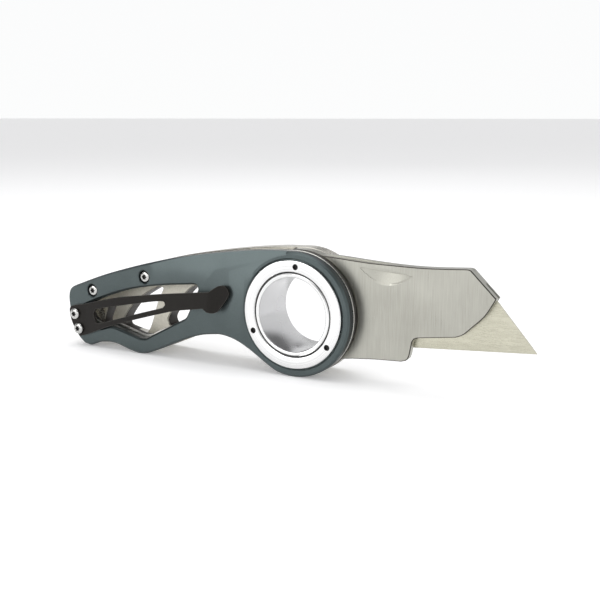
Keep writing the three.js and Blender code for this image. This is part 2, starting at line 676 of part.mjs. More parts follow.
// ---------------------------------------------------------------- fasteners
const scaleSeat = scaleFront + 2.0 - 0.1;
const clipSeat = clipBack - clipThickness - gap;
const frameSeat = frameBack - screwHeadHeight + 0.1;
screw("scale_screw_tail", topScrews.tail, scaleSeat, shankMiddle, screwHeadHeight);
screw("scale_screw_middle", topScrews.middle, scaleSeat, shankMiddle, screwHeadHeight);
screw("clip_screw_upper", clipScrews.upper, clipSeat, shankMiddle, clipScrewHead);
screw("clip_screw_lower", clipScrews.lower, clipSeat, shankMiddle, clipScrewHead);
screw("frame_screw_tail", topScrews.tail, frameSeat, shankMiddle + 0.4, 1.4, true);
screw("frame_screw_middle", topScrews.middle, frameSeat, shankMiddle + 0.4, 1.4, true);
screw("frame_screw_butt", buttScrew, frameSeat, shankMiddle + 0.4, 1.4, true);
lockScrews.forEach((place, i) =>
  screw(`lock_screw_${i + 1}`, place, frameSeat, frameFront + 0.4, 1.4, true),
);

// ---------------------------------------------------------------- onto its base
// The origin moves to the middle of the knife's box, at the level that it stands on.
knife.updateMatrixWorld(true);
const extent = new THREE.Box3().setFromObject(knife, true);
const middle = extent.getCenter(new THREE.Vector3());
knife.position.set(-middle.x, -middle.y, -extent.min.z);

export default knife;
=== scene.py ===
import math

import bmesh
import bpy
from mathutils import Matrix, Vector
from mathutils.geometry import interpolate_bezier


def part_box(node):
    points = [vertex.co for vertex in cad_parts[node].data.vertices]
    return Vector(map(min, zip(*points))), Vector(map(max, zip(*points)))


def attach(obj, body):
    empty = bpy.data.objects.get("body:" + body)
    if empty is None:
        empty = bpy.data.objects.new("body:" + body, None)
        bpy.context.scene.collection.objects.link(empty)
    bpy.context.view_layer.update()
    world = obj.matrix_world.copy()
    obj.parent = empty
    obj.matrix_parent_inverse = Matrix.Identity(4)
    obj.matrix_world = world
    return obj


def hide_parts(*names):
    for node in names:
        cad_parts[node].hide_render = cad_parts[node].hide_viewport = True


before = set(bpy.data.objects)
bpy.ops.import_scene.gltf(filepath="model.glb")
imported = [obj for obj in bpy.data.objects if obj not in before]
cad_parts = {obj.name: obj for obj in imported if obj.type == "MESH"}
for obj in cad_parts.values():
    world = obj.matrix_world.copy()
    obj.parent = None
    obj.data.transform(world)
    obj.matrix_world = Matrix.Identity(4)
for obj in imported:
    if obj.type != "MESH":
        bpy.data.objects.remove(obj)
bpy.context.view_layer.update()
scene = bpy.context.scene

# ---------------------------------------------------------------- where the knife stands
# The knife's own drawing frame: millimetres from the centre of the finger ring's front face,
# x towards the blade's tip, y into the knife, z up. Every piece is drawn in it, then set in place.
ring_low, ring_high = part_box("pivot_ring")
ring_centre = Vector(((ring_low.x + ring_high.x) / 2, ring_low.y, (ring_low.z + ring_high.z) / 2))
into_place = Matrix.Translation(ring_centre) @ Matrix.Scale(0.001, 4)


def layer(node):
    """Front and back of a CAD node in the drawing frame, in millimetres."""
    low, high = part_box(node)
    return (low.y - ring_centre.y) * 1000, (high.y - ring_centre.y) * 1000


# ---------------------------------------------------------------- table, lights and camera
# A wide matt white table top, one large soft box overhead, a softer one by the camera and
# a pale room, as in a small product studio.
table = bmesh.new()
bmesh.ops.create_grid(table, x_segments=1, y_segments=1, size=40.0)
table_mesh = bpy.data.meshes.new("table_top")
table.to_mesh(table_mesh)
table.free()
table_top = bpy.data.objects.new("table_top", table_mesh)
scene.collection.objects.link(table_top)

paper = bpy.data.materials.new("matt_white_paper")
paper.use_nodes = True
paper_shader = paper.node_tree.nodes["Principled BSDF"]
paper_shader.inputs["Base Color"].default_value = (0.93, 0.93, 0.935, 1)
paper_shader.inputs["Roughness"].default_value = 0.9
paper_shader.inputs["Specular IOR Level"].default_value = 0.1
paper_shader.inputs["Emission Color"].default_value = (1, 1, 1, 1)
paper_shader.inputs["Emission Strength"].default_value = 0.2
table_mesh.materials.append(paper)

room = bpy.data.worlds.new("pale_room")
scene.world = room
room.use_nodes = True
room_nodes, room_links = room.node_tree.nodes, room.node_tree.links
room_light = room_nodes["Background"]
room_light.inputs["Strength"].default_value = 1.0
room_place = room_nodes.new("ShaderNodeTexCoord")
room_split = room_nodes.new("ShaderNodeSeparateXYZ")
room_ramp = room_nodes.new("ShaderNodeValToRGB")
room_links.new(room_place.outputs["Generated"], room_split.inputs["Vector"])
room_links.new(room_split.outputs["Z"], room_ramp.inputs["Fac"])
room_links.new(room_ramp.outputs["Color"], room_light.inputs["Color"])
room_ramp.color_ramp.elements[0].position = 0.0
room_ramp.color_ramp.elements[0].color = (0.975, 0.98, 0.98, 1)
room_ramp.color_ramp.elements[1].position = 1.0
room_ramp.color_ramp.elements[1].color = (1, 1, 1, 1)
for height, grey in ((0.42, 0.95), (0.56, 0.2), (0.78, 0.22), (0.88, 0.95)):
    stop = room_ramp.color_ramp.elements.new(height)
    stop.color = (grey, grey, grey * 1.01, 1)

for name, place, size, power in (
    ("soft_box_overhead", (-0.1, 0.1, 0.9), 0.9, 4.0),
    ("soft_box_left", (-0.42, -0.75, 0.24), 0.4, 1.9),
    ("soft_box_by_camera", (0.3, -0.8, 0.3), 0.4, 1.2),
):
    lamp = bpy.data.lights.new(name, "AREA")
    lamp.size = size
    lamp.energy = power
    holder = bpy.data.objects.new(name, lamp)
    holder.location = place
    holder.rotation_mode = "QUATERNION"
    holder.rotation_quaternion = (ring_centre - holder.location).to_track_quat("-Z", "Y")
    scene.collection.objects.link(holder)

# Two black cards, outside the camera's view, give the polished pieces something dark to mirror.
felt = bpy.data.materials.new("black_felt")
felt.use_nodes = True
felt.node_tree.nodes["Principled BSDF"].inputs["Base Color"].default_value = (0.02, 0.02, 0.02, 1)
felt.node_tree.nodes["Principled BSDF"].inputs["Roughness"].default_value = 0.95
for name, place, half_width in (
    ("dark_card_left", (-1.2, -0.75, 0.36), 0.35),
    ("dark_card_behind", (-0.56, 1.39, 0.56), 0.1),
):
    card = bmesh.new()
    bmesh.ops.create_grid(card, x_segments=1, y_segments=1, size=half_width)
    card_mesh = bpy.data.meshes.new(name)
    card.to_mesh(card_mesh)
    card.free()
    card_mesh.materials.append(felt)
    dark_card = bpy.data.objects.new(name, card_mesh)
    dark_card.location = place
    dark_card.rotation_mode = "QUATERNION"
    dark_card.rotation_quaternion = (ring_centre - dark_card.location).to_track_quat("Z", "Y")
    scene.collection.objects.link(dark_card)

camera_data = bpy.data.cameras.new("camera")
camera_data.sensor_width = 36.0
camera_data.lens = 55.8
camera_data.clip_start = 0.01
camera = bpy.data.objects.new("camera", camera_data)
camera.location = ring_centre + Vector((0.13483, -0.23721, 0.05837))
camera.rotation_mode = "QUATERNION"
camera.rotation_quaternion = Vector((-0.47647, 0.85774, -0.19304)).to_track_quat("-Z", "Y")
scene.collection.objects.link(camera)
scene.camera = camera
scene.view_settings.view_transform = "Standard"

# ---------------------------------------------------------------- front scale
# Cover plate of the clip side: aluminium, milled with a long window and a broad bevel along its
# back, bead-blasted, anodised slate grey, and held by two screws and by the finger ring's flange.


def through(points, steps=8):
    """Points of a smooth curve through a few places."""
    ends = [points[0], *points, points[-1]]
    run = []
    for before, a, b, after in zip(ends, ends[1:], ends[2:], ends[3:]):
        before, a, b, after = (Vector(p) for p in (before, a, b, after))
        span = interpolate_bezier(a, a + (b - before) / 6, b - (after - a) / 6, b, steps + 1)
        run += [tuple(p) for p in span[:-1]]
    return [*run, tuple(points[-1])]


def arc(radius, start, end, centre=(0, 0), step=3):
    """Points of an arc, its angles in degrees from the x axis towards z."""
    count = max(2, math.ceil(abs(end - start) / step))
    angles = (math.radians(start + (end - start) * i / count) for i in range(count + 1))
    return [(centre[0] + radius * math.cos(a), centre[1] + radius * math.sin(a)) for a in angles]


def hole(radius, centre=(0, 0), step=12):
    return arc(radius, 0, 360, centre, step)[:-1]


def joined(*runs):
    """One closed outline from several runs, without the points that repeat."""
    points = [p for run in runs for p in run]
    return [p for p, q in zip(points, points[1:] + points[:1]) if math.dist(p, q) > 0.03]


def plate(loops, front, back):
    """A flat plate from its outline and the outlines of its holes."""
    shape = bmesh.new()
    edges = []
    for loop in loops:
        ring = [shape.verts.new((x, front, z)) for x, z in loop]
        edges += [shape.edges.new(pair) for pair in zip(ring, ring[1:] + ring[:1])]
    bmesh.ops.triangle_fill(shape, use_beauty=True, edges=edges)
    raised = bmesh.ops.extrude_face_region(shape, geom=shape.faces[:])["geom"]
    corners = [v for v in raised if isinstance(v, bmesh.types.BMVert)]
    bmesh.ops.translate(shape, vec=(0, back - front, 0), verts=corners)
    bmesh.ops.recalc_face_normals(shape, faces=shape.faces)
    return shape


def break_rim(shape, level, width, segments=1):
    """Chamfers or rounds the sharp edges that lie in one layer of a plate."""
    rim = [
        e
        for e in shape.edges
        if e.is_manifold
        and e.calc_face_angle() > 0.9
        and all(abs(v.co.y - level) < 1e-4 for v in e.verts)
    ]
    bmesh.ops.bevel(
        shape, geom=rim, offset=width, segments=segments, profile=0.5, affect="EDGES", material=-1
    )
    return shape


def turned(profile, place=(0, 0), steps=96):
    """A turned solid: radius and y of its closed or axis-to-axis profile, about an axis along y."""
    shape = bmesh.new()
    line = [shape.verts.new((place[0] + r, y, place[1])) for r, y in profile]
    edges = [shape.edges.new(pair) for pair in zip(line, line[1:])]
    if profile[0][0] > 1e-6:
        edges.append(shape.edges.new((line[-1], line[0])))
    bmesh.ops.spin(
        shape,
        geom=line + edges,
        cent=(place[0], 0, place[1]),
        axis=(0, 1, 0),
        angle=2 * math.pi,
        steps=steps,
        use_merge=True,
    )
    bmesh.ops.remove_doubles(shape, verts=shape.verts, dist=1e-4)
    bmesh.ops.recalc_face_normals(shape, faces=shape.faces)
    return shape


def as_object(name, shape):
    mesh = bpy.data.meshes.new(name)
    shape.to_mesh(mesh)
    shape.free()
    made = bpy.data.objects.new(name, mesh)
    scene.collection.objects.link(made)
    return made


def carve(shape, *cutters, operation="DIFFERENCE"):
    """Cuts solids out of a shape, or keeps what they share."""
    stock = as_object("stock", shape)
    tools = [as_object("tool", cutter) for cutter in cutters]
    for tool in tools:
        cut = stock.modifiers.new("cut", "BOOLEAN")
        cut.operation = operation
        cut.solver = "EXACT"
        cut.object = tool
    result = bmesh.new()
    result.from_object(stock, bpy.context.evaluated_depsgraph_get())
    for used in (stock, *tools):
        bpy.data.meshes.remove(used.data)
    bmesh.ops.remove_doubles(result, verts=result.verts, dist=1e-4)
    return result


def swept(shape, end, reach):
    """Pulls one face of a shape out along a vector, into a closed body."""
    far = bmesh.ops.extrude_face_region(shape, geom=[end])["geom"]
    bmesh.ops.translate(shape, vec=reach, verts=[v for v in far if isinstance(v, bmesh.types.BMVert)])
    bmesh.ops.recalc_face_normals(shape, faces=shape.faces)


def mark(shape, test, index=1):
    """Gives another of a piece's materials to the faces whose centre and normal pass a test."""
    shape.normal_update()
    for face in shape.faces:
        if test(face.calc_center_median(), face.normal):
            face.material_index = index
    return shape


def piece(name, shape, body, material, nodes=(), soften=0.0, smooth_below=35, others=()):
    """Sets a finished shape in place as an object that rides with a body."""
    bmesh.ops.transform(shape, matrix=into_place, verts=shape.verts)
    made = as_object(name, shape)
    for coat in (material, *others):
        made.data.materials.append(coat)
    made.data.shade_smooth()
    if soften:
        edge = made.modifiers.new("broken_edges", "BEVEL")
        edge.width = soften / 1000
        edge.segments = 2
        edge.limit_method = "ANGLE"
        edge.angle_limit = math.radians(smooth_below)
        edge.use_clamp_overlap = True
        edge.harden_normals = False
        evened = made.modifiers.new("even_shading", "WEIGHTED_NORMAL")
        evened.keep_sharp = False
    else:
        made.data.set_sharp_from_angle(angle=math.radians(smooth_below))
    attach(made, body)
    if nodes:
        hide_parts(*nodes)
    return made


def metal(name, base, shade, roughness, spread, grain, bump, metallic=1.0, patches=70.0, anisotropic=0.0):
    """Metal whose grain is noise stretched by three scales, in cycles per metre."""
    made = bpy.data.materials.new(name)
    made.use_nodes = True
    nodes, links = made.node_tree.nodes, made.node_tree.links
    shader = nodes["Principled BSDF"]
    shader.inputs["Metallic"].default_value = metallic
    shader.inputs["Anisotropic"].default_value = anisotropic
    place = nodes.new("ShaderNodeTexCoord")
    stretch = nodes.new("ShaderNodeMapping")
    stretch.inputs["Scale"].default_value = grain
    fine = nodes.new("ShaderNodeTexNoise")
    fine.inputs["Scale"].default_value = 1.0
    fine.inputs["Detail"].default_value = 4.0
    fine.inputs["Roughness"].default_value = 0.65
    broad = nodes.new("ShaderNodeTexNoise")
    broad.inputs["Scale"].default_value = patches
    broad.inputs["Detail"].default_value = 3.0
    links.new(place.outputs["Object"], stretch.inputs["Vector"])
    links.new(stretch.outputs["Vector"], fine.inputs["Vector"])
    links.new(place.outputs["Object"], broad.inputs["Vector"])
    both = nodes.new("ShaderNodeMix")
    both.inputs["Factor"].default_value = 0.4
    links.new(fine.outputs["Fac"], both.inputs["A"])
    links.new(broad.outputs["Fac"], both.inputs["B"])
    colours = nodes.new("ShaderNodeValToRGB")
    colours.color_ramp.elements[0].position = 0.3
    colours.color_ramp.elements[0].color = (*shade, 1)
    colours.color_ramp.elements[1].position = 0.7
    colours.color_ramp.elements[1].color = (*base, 1)
    links.new(both.outputs["Result"], colours.inputs["Fac"])
    links.new(colours.outputs["Color"], shader.inputs["Base Color"])
    gloss = nodes.new("ShaderNodeMapRange")
    gloss.inputs["From Min"].default_value = 0.3
    gloss.inputs["From Max"].default_value = 0.7
    gloss.inputs["To Min"].default_value = roughness - spread
    gloss.inputs["To Max"].default_value = roughness + spread
    links.new(fine.outputs["Fac"], gloss.inputs["Value"])
    links.new(gloss.outputs["Result"], shader.inputs["Roughness"])
    relief = nodes.new("ShaderNodeBump")
    relief.inputs["Strength"].default_value = bump
    relief.inputs["Distance"].default_value = 0.00003
    links.new(fine.outputs["Fac"], relief.inputs["Height"])
    links.new(relief.outputs["Normal"], shader.inputs["Normal"])
    return made


head_radius = 19.2
back_line = through([(-85.0, 1.9), (-70, 7.2), (-49, 12.9), (-29, 16.6), (-12, 18.7), (0, head_radius)])
dip = interpolate_bezier(
    (*arc(head_radius, -107, -108)[0], 0), (-11, -16.4, 0), (-18, -9.0, 0), (-27, -9.1, 0), 24
)
finger_dip = [(p[0], p[1]) for p in dip]
belly_and_butt = joined(
    through(
        [
            (-27, -9.1), (-34, -10.2), (-42, -13.1), (-53, -17.9), (-58.2, -19.2), (-63, -18.5),
            (-69.5, -16.9), (-75.5, -17.3), (-79.8, -18.8), (-82.8, -18.4),
        ]
    ),
    through(
        [
            (-82.8, -18.4), (-85.7, -15.8), (-88.0, -10.6), (-89.0, -4.5), (-88.8, -1.2),
            (-87.5, 0.7), (-85.0, 1.9),
        ]
    ),
)
handle_outline = joined(back_line, arc(head_radius, 90, -107), finger_dip, belly_and_butt)
scale_window = joined(
    through([(-81.6, -4.8), (-75.5, -2.2), (-67, 0.8), (-58.8, 3.0), (-48.3, 4.8), (-36.6, 6.1)]),
    through([(-36.6, 6.1), (-34.9, 5.9), (-34.4, 4.6)], 4),
    through([(-38.8, -4.2), (-39.6, -5.3), (-40.9, -6.0)], 4),
    through([(-53.6, -12.6), (-55.6, -13.7), (-58.4, -14.0)], 4),
    through([(-64.9, -12.3), (-70.4, -11.3), (-75.5, -12.4), (-80.2, -10.4), (-81.6, -4.8)]),
)
case_screws = {"tail": (-78.2, 0.4), "middle": (-55.8, 6.9)}
clip_screws = {"upper": (-84.9, -8.0), "lower": (-83.5, -13.0)}
sleeve_hole = 13.3
flange_seat = 16.9
bevel_line = 11.6
bevel_slope = 0.16
bevel_end = -2.0
land_radius = 18.0

scale_front, scale_back = layer("front_scale")
scale_shape = plate([handle_outline, scale_window], scale_front, scale_back)
break_rim(scale_shape, scale_front, 0.6)
break_rim(scale_shape, scale_back, 0.4)
wedge = bmesh.new()
for corner in (
    (-100, scale_front - 2, bevel_line - 0.001),
    (-100, scale_front - 2, bevel_line + 15),
    (-100, scale_front + 15 * bevel_slope, bevel_line + 15),
    (-100, scale_front, bevel_line),
):
    wedge.verts.new(corner)
wedge_side = wedge.faces.new(wedge.verts)
swept(wedge, wedge_side, (100 + bevel_end, 0, 0))
wedge = carve(wedge, turned([(0, -5), (land_radius, -5), (land_radius, 9), (0, 9)]))
flange_cut = turned(
    [(0, -5), (flange_seat + 0.35, -5), (flange_seat + 0.35, scale_front - 0.01),
     (flange_seat, scale_front + 0.35), (flange_seat, 1.2), (sleeve_hole, 1.2), (sleeve_hole, 9), (0, 9)]
)
screw_seats = [
    turned(
        [(0, -5), (2.5, -5), (2.5, scale_front - 0.01), (2.18, scale_front + 0.3), (2.18, scale_front + 2),
         (1.2, scale_front + 2), (1.2, 9), (0, 9)],
        place,
        32,
    )
    for place in case_screws.values()
]
clip_shanks = [turned([(0, -5), (1.2, -5), (1.2, 9), (0, 9)], place, 24) for place in clip_screws.values()]
scale_shape = carve(scale_shape, wedge, flange_cut, *screw_seats, *clip_shanks)
slate = metal(
    "slate_anodised_aluminium",
    base=(0.086, 0.106, 0.107),
    shade=(0.056, 0.071, 0.072),
    roughness=0.35,
    spread=0.07,
    grain=(5200, 5200, 5200),
    bump=0.22,
    metallic=0.75,
)
painted_shade_slate = metal(
    "slate_side_walls_painted_shade",
    base=(0.036, 0.046, 0.052),
    shade=(0.020, 0.026, 0.030),
    roughness=0.4,
    spread=0.06,
    grain=(900, 5200, 900),
    bump=0.15,
    metallic=0.6,
)
# The scale's side walls take a darker copy of the slate: painted shade on these walls.
mark(scale_shape, lambda centre, normal: abs(normal.y) < 0.3)
piece(
    "slate_scale", scale_shape, "handle", slate, ["front_scale"], soften=0.09,
    others=[painted_shade_slate],
)

# ---------------------------------------------------------------- front liner
# Stainless sheet behind the scale that the blade carrier runs against. It is blanked to the same
# outline, and its window is a little shallower, so a bright ledge shows along the foot.
liner_front, liner_back = layer("front_liner")
liner_window = [(x, z + 0.9) if z < -9 else (x, z) for x, z in scale_window]
stop_pin_place = arc(17.6, 98 + math.degrees(math.asin(1.7 / 17.6)), 180)[0]
liner_holes = [hole(1.2, place) for place in (*case_screws.values(), *clip_screws.values())]
liner_shape = plate(
    [handle_outline, liner_window, hole(sleeve_hole, step=4), *liner_holes], liner_front, liner_back
)
break_rim(liner_shape, liner_front, 0.12)
break_rim(liner_shape, liner_back, 0.12)
liner_shape = carve(
    liner_shape,
    turned([(0, liner_back - 1.1), (1.7, liner_back - 1.1), (1.7, 9), (0, 9)], stop_pin_place, 24),
)
satin_steel = metal(
    "satin_stainless",
    base=(0.68, 0.67, 0.63),
    shade=(0.52, 0.51, 0.47),
    roughness=0.3,
    spread=0.07,
    grain=(260, 3800, 3800),
    bump=0.12,
)
painted_shade_liner_edge = metal(
    "liner_cut_edges_painted_shade",
    base=(0.055, 0.052, 0.048),
    shade=(0.018, 0.017, 0.016),
    roughness=0.45,
    spread=0.08,
    grain=(900, 5200, 900),
    bump=0.2,
    metallic=0.5,
)
# The liner's cut edges take a near-black copy of the steel: painted shade, so the edge shows as a dark band
# between its bright chamfers.
mark(liner_shape, lambda centre, normal: abs(normal.y) < 0.3)
piece(
    "steel_liner", liner_shape, "handle", satin_steel, ["front_liner"], others=[painted_shade_liner_edge]
)

# ---------------------------------------------------------------- rear frame
# Thick steel side that carries the load, with slanted windows cut through it, a bed for the lock
# leaf milled in its inner face and the nut of the finger ring let into its outer face.


def rounded(corners, steps=5):
    """A closed outline whose corners are eased, as the milling cutter leaves them."""
    count = len(corners)
    points = []
    for i in range(count):
        before, a, b, after = (Vector(corners[(i + k) % count]) for k in (-1, 0, 1, 2))
        ease = 0.25 / 3
        far = interpolate_bezier(
            a, a + (b - before) * ease * 1.5, b - (after - a) * ease * 1.5, b, steps + 1
        )
        points += [tuple(p) for p in far[:-1]]
    return points


frame_front, frame_back = layer("rear_frame")
frame_windows = [
    [
        (-81.4, -14.0), (-82.3, -12.6), (-80.2, -6.6), (-79.2, -5.6), (-76.6, -5.9), (-78.4, -10.0),
        (-79.2, -13.4),
    ],
    [
        (-72.6, -13.9), (-74.0, -12.4), (-72.4, -9.2), (-69.1, -5.2), (-65.4, -2.2), (-58.6, 1.6),
        (-56.0, 1.4), (-58.5, -3.3), (-63.2, -14.6),
    ],
    [
        (-52.6, -11.0), (-54.1, -8.9), (-52.6, -6.2), (-48.6, -1.4), (-44.0, 2.9), (-37.8, 4.2),
        (-39.6, -1.2), (-44.6, -8.2),
    ],
    [
        (-34.2, -4.0), (-35.0, -2.0), (-31.6, 6.2), (-26.4, 8.4), (-20.6, 9.0), (-23.6, 3.0),
        (-27.6, -1.6),
    ],
]
lock_end = math.radians(-74.5 - 1.2)
lock_band = [
    (-47.5, -20), (-47.5, -9.6), (-44, -8.6), (-36, -6.6), (-27, -3.9), (-18, -4.6), (-11, -8.6),
    (12 * math.cos(lock_end), 12 * math.sin(lock_end)), (23 * math.cos(lock_end), 23 * math.sin(lock_end)),
]
lock_bed = [
    (-48.0, -20), (-48.0, -9.2), (-44, -8.0), (-36, -6.0), (-27, -3.3), (-18, -4.0), (-10.6, -8.0),
    (3.6, -11), (6.4, -23),
]
lock_screws = [(-44.2, -11.4), (-39.4, -9.6)]
butt_screw = (-84.5, -11.0)
frame_head = arc(head_radius, 90, -90, centre=(-1.2, 0))
frame_outline = joined(
    [p for p in back_line if p[0] < -3], frame_head, arc(head_radius, -96, -107), finger_dip, belly_and_butt
)
frame_shape = plate([frame_outline, *(rounded(w) for w in frame_windows)], frame_front, frame_back)
break_rim(frame_shape, frame_back, 0.4, 2)
break_rim(frame_shape, frame_front, 0.35)
rear_seats = [
    turned(
        [(0, 5), (1.2, 5), (1.2, frame_back - 1.6), (2.18, frame_back - 1.6), (2.18, 30), (0, 30)],
        place,
        32,
    )
    for place in (*case_screws.values(), butt_screw, *lock_screws)
]
frame_shape = carve(
    frame_shape,
    carve(
        plate([lock_bed], frame_front - 1, frame_front + 1.9),
        turned([(0, 5), (15.5, 5), (15.5, 30), (0, 30)]),
    ),
    turned([(0, 5), (sleeve_hole, 5), (sleeve_hole, 15.5), (16.3, 15.5), (16.3, 30), (0, 30)]),
    turned([(0, 5), (1.7, 5), (1.7, frame_front + 1.7), (0, frame_front + 1.7)], stop_pin_place, 24),
    *rear_seats,
)


def in_a_window(centre, normal):
    return abs(normal.y) < 0.5 and any(
        min(x for x, z in w) - 0.2 < centre.x < max(x for x, z in w) + 0.2
        and min(z for x, z in w) - 0.2 < centre.z < max(z for x, z in w) + 0.2
        for w in frame_windows
    )


# The walls of the frame's windows take a near-black copy of the steel: painted shade in the cut-outs.
mark(frame_shape, in_a_window)
# The frame's inner face, seen through the windows, takes a lighter copy of the steel: painted light on the
# bars, with a rougher and less metallic finish.
mark(frame_shape, lambda centre, normal: normal.y < -0.9, index=2)
frame_face_painted_light = metal(
    "frame_inner_face_painted_light",
    base=(0.88, 0.85, 0.75),
    shade=(0.66, 0.63, 0.54),
    roughness=0.45,
    spread=0.08,
    grain=(1500, 1500, 1500),
    bump=0.2,
    metallic=0.45,
)
painted_shade_window_walls = metal(
    "frame_window_walls_painted_shade",
    base=(0.040, 0.031, 0.022),
    shade=(0.012, 0.010, 0.008),
    roughness=0.5,
    spread=0.08,
    grain=(900, 300, 900),
    bump=0.3,
    metallic=0.3,
)
frame_steel = metal(
    "brushed_frame_steel",
    base=(0.56, 0.54, 0.48),
    shade=(0.38, 0.365, 0.315),
    roughness=0.28,
    spread=0.07,
    grain=(240, 3600, 3600),
    bump=0.16,
)
piece(
    "steel_frame", frame_shape, "handle", frame_steel, ["rear_frame"], soften=0.08,
    others=[painted_shade_window_walls, frame_face_painted_light],
)

# ---------------------------------------------------------------- back spacer
# Bar between liner and frame along the back and round the butt. Every case screw ends in it, and
# its back is finished flush with the liner.
spacer_front, spacer_back = layer("back_spacer")
spacer_inside = [
    (-21, 30), (-21, 13.4), (-44, 9.2), (-53, 4.9), (-59, 3.9), (-70, 2.6), (-74.5, 1.5), (-76, -1.6),
    (-81.8, -4.0), (-81.8, -17.0), (-95, -17.0), (-95, 30),
]
spacer_inset, handle_length, handle_height = 0.8, 108, 38.4
shrink = Matrix.Diagonal((1 - spacer_inset / handle_length, 1, 1 - spacer_inset / handle_height, 1))
spacer_stock = plate([handle_outline], spacer_front, spacer_back)
bmesh.ops.transform(
    spacer_stock,
    matrix=shrink,
    space=Matrix.Translation((35, 0, 0)),
    verts=spacer_stock.verts,
)
spacer_shape = carve(
    spacer_stock, plate([spacer_inside], spacer_front - 1, spacer_back + 1), operation="INTERSECT"
)
spacer_shape = carve(
    spacer_shape,
    *(
        turned([(0, 0), (1.2, 0), (1.2, 30), (0, 30)], place, 24)
        for place in (*case_screws.values(), *clip_screws.values(), butt_screw)
    ),
)
piece("steel_spacer", spacer_shape, "handle", frame_steel, ["back_spacer"], soften=0.1)

# ---------------------------------------------------------------- stop pin and washers
# A hardened pin between liner and frame that the carrier's tang stops against, and the two
# bronze washers that it turns between.
pin_front, pin_back = layer("stop_pin")
bright_steel = metal(
    "bright_turned_steel",
    base=(0.60, 0.60, 0.58),
    shade=(0.40, 0.40, 0.39),
    roughness=0.22,
    spread=0.05,
    grain=(3000, 900, 3000),
    bump=0.08,
)
pin_shape = turned(
    [(0, pin_front), (1.3, pin_front), (1.5, pin_front + 0.2), (1.5, pin_back - 0.2), (1.3, pin_back),
     (0, pin_back)],
    stop_pin_place,
    32,
)
piece("stop_pin_steel", pin_shape, "handle", bright_steel, ["stop_pin"])

washer_bronze = metal(
    "washer_bronze",
    base=(0.50, 0.34, 0.14),
    shade=(0.36, 0.23, 0.09),
    roughness=0.35,
    spread=0.08,
    grain=(2400, 2400, 2400),
    bump=0.1,
)
for side in ("front", "rear"):
    low, high = layer(f"washer_{side}")
    washer = turned([(13.3, low + 0.1), (13.4, low), (15.4, low), (15.5, low + 0.1), (15.5, high - 0.1),
                     (15.4, high), (13.4, high), (13.3, high - 0.1)])
    piece(f"bronze_washer_{side}", washer, "handle", washer_bronze, [f"washer_{side}"])

# ---------------------------------------------------------------- finger ring and its nut
# The pivot is one large turned sleeve that the finger goes through. Its flange seats in the scale,
# its nut in the frame, and three blind holes in each take the spanner.
ring_back = layer("pivot_ring")[1]
nut_front, nut_back = layer("ring_nut")
spanner_places = [arc(14.8, angle, angle + 1)[0] for angle in (84.5, 204.5, 324.5)]


def spanner_cut(front, back):
    return [
        turned([(0, front), (0.92, front), (0.92, back), (0, back)], place, 24) for place in spanner_places
    ]


ring_shape = turned(
    [
        (11.44, 0.5), (11.50, 0.28), (11.64, 0.15), (11.84, 0.1), (12.35, 0.1), (12.65, 0.4),
        (13.05, 0.4), (13.25, 0.04), (13.35, 0.0), (16.2, 0.0), (16.42, 0.06), (16.54, 0.18), (16.6, 0.4),
        (16.6, 1.2), (13.0, 1.2), (13.0, ring_back - 0.3), (12.7, ring_back), (11.84, ring_back),
        (11.56, ring_back - 0.12), (11.44, ring_back - 0.4),
    ],
    steps=160,
)
ring_shape = carve(ring_shape, *spanner_cut(-1, 0.9))
nut_shape = turned(
    [
        (13.3, nut_front), (16.0, nut_front), (16.0, nut_back - 0.4), (15.88, nut_back - 0.12),
        (15.6, nut_back), (13.5, nut_back), (13.3, nut_back - 0.2),
    ],
    steps=128,
)
nut_shape = carve(nut_shape, *spanner_cut(nut_front + 0.4, nut_back + 1))
# The spanner holes take a near-black material: painted shade in these blind holes.
for part, top, bottom in ((ring_shape, 0.02, 0.95), (nut_shape, nut_front + 0.35, nut_back - 0.02)):
    mark(
        part,
        lambda centre, normal: top < centre.y < bottom
        and any(math.dist((centre.x, centre.z), p) < 0.95 for p in spanner_places),
    )
# The bottom of the groove on the ring's front face: painted shade, drawn as a dark line.
mark(
    ring_shape,
    lambda centre, normal: 12.62 < math.hypot(centre.x, centre.z) < 13.08 and 0.3 < centre.y < 0.5,
)
hollows_painted_shade = metal(
    "holes_and_groove_painted_shade",
    base=(0.020, 0.019, 0.018),
    shade=(0.006, 0.006, 0.006),
    roughness=0.6,
    spread=0.08,
    grain=(1800, 1800, 1800),
    bump=0.2,
    metallic=0.2,
)

polished = bpy.data.materials.new("turned_polished_steel")
polished.use_nodes = True
nodes, links = polished.node_tree.nodes, polished.node_tree.links
shader = nodes["Principled BSDF"]
shader.inputs["Metallic"].default_value = 1.0
shader.inputs["Anisotropic"].default_value = 0.6
round_the_axis = nodes.new("ShaderNodeTangent")
round_the_axis.direction_type = "RADIAL"
round_the_axis.axis = "Y"
links.new(round_the_axis.outputs["Tangent"], shader.inputs["Tangent"])
place = nodes.new("ShaderNodeTexCoord")
centred = nodes.new("ShaderNodeMapping")
centred.vector_type = "POINT"
centred.inputs["Location"].default_value = (-ring_centre.x, 0, -ring_centre.z)
flat = nodes.new("ShaderNodeVectorMath")
flat.operation = "MULTIPLY"
flat.inputs[1].default_value = (1, 0, 1)
radius = nodes.new("ShaderNodeVectorMath")
radius.operation = "LENGTH"
links.new(place.outputs["Object"], centred.inputs["Vector"])
links.new(centred.outputs["Vector"], flat.inputs[0])
links.new(flat.outputs["Vector"], radius.inputs[0])
split = nodes.new("ShaderNodeSeparateXYZ")
links.new(centred.outputs["Vector"], split.inputs["Vector"])
depth = nodes.new("ShaderNodeMath")
depth.operation = "ADD"
links.new(radius.outputs["Value"], depth.inputs[0])
links.new(split.outputs["Y"], depth.inputs[1])
tool_marks = nodes.new("ShaderNodeTexNoise")
tool_marks.noise_dimensions = "1D"
